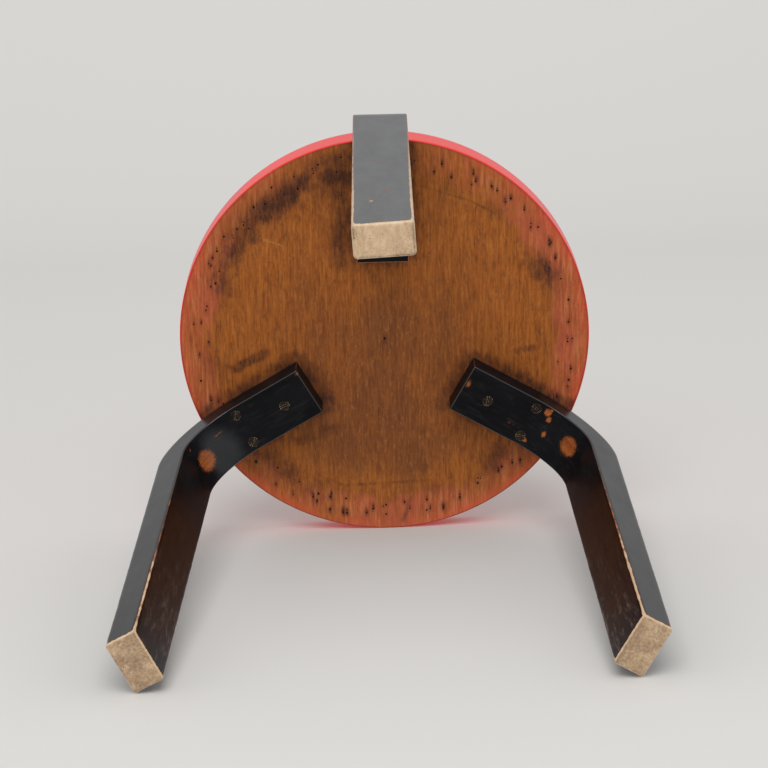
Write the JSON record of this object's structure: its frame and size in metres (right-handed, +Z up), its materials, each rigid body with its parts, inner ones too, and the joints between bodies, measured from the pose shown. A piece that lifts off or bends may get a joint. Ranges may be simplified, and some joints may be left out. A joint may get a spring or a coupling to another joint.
{
  "type": "bentwood stool",
  "caption": "Low round stool with a red-edged laminated seat on bent L-shaped black legs, each screwed flat under the veneered seat.",
  "frame": {"origin": "on the floor, where the round seat's own axis meets it, midway between the legs", "axes": "+Z up along the seat's axis, +Y towards the back leg, +X to the right"},
  "size_m": [0.4056, 0.3954, 0.44],
  "materials": {
    "leg_black": "satin black paint on birch, worn through to bare wood along the edges and at the feet",
    "seat_red": "glossy red paint on birch",
    "underside_veneer": "old orange-brown varnish, red stain round the rim, pricked by tacks",
    "core_birch": "unfinished, inside the seat",
    "bend_veneer": "thin birch veneer, glued",
    "screw_steel": "dark, with traces of black paint"
  },
  "bodies": {
    "root": {"seat_top_veneer": "seat_red", "seat_underside_veneer": "underside_veneer", "seat_edge_band": "seat_red", "core_stave_1": "core_birch", "core_stave_2": "core_birch", "core_stave_3": "core_birch", "core_stave_4": "core_birch", "core_stave_5": "core_birch", "core_stave_6": "core_birch", "core_stave_7": "core_birch", "core_stave_8": "core_birch", "leg_back": "leg_black", "leg_front_left": "leg_black", "leg_front_right": "leg_black", "bend_veneer_back_1": "bend_veneer", "bend_veneer_back_2": "bend_veneer", "bend_veneer_back_3": "bend_veneer", "bend_veneer_back_4": "bend_veneer", "bend_veneer_back_5": "bend_veneer", "bend_veneer_front_left_1": "bend_veneer", "bend_veneer_front_left_2": "bend_veneer", "bend_veneer_front_left_3": "bend_veneer", "bend_veneer_front_left_4": "bend_veneer", "bend_veneer_front_left_5": "bend_veneer", "bend_veneer_front_right_1": "bend_veneer", "bend_veneer_front_right_2": "bend_veneer", "bend_veneer_front_right_3": "bend_veneer", "bend_veneer_front_right_4": "bend_veneer", "bend_veneer_front_right_5": "bend_veneer", "screw_back_inner": "screw_steel", "screw_back_left": "screw_steel", "screw_back_right": "screw_steel", "screw_front_left_inner": "screw_steel", "screw_front_left_left": "screw_steel", "screw_front_left_right": "screw_steel", "screw_front_right_inner": "screw_steel", "screw_front_right_left": "screw_steel", "screw_front_right_right": "screw_steel"}
  },
  "joints": []
}
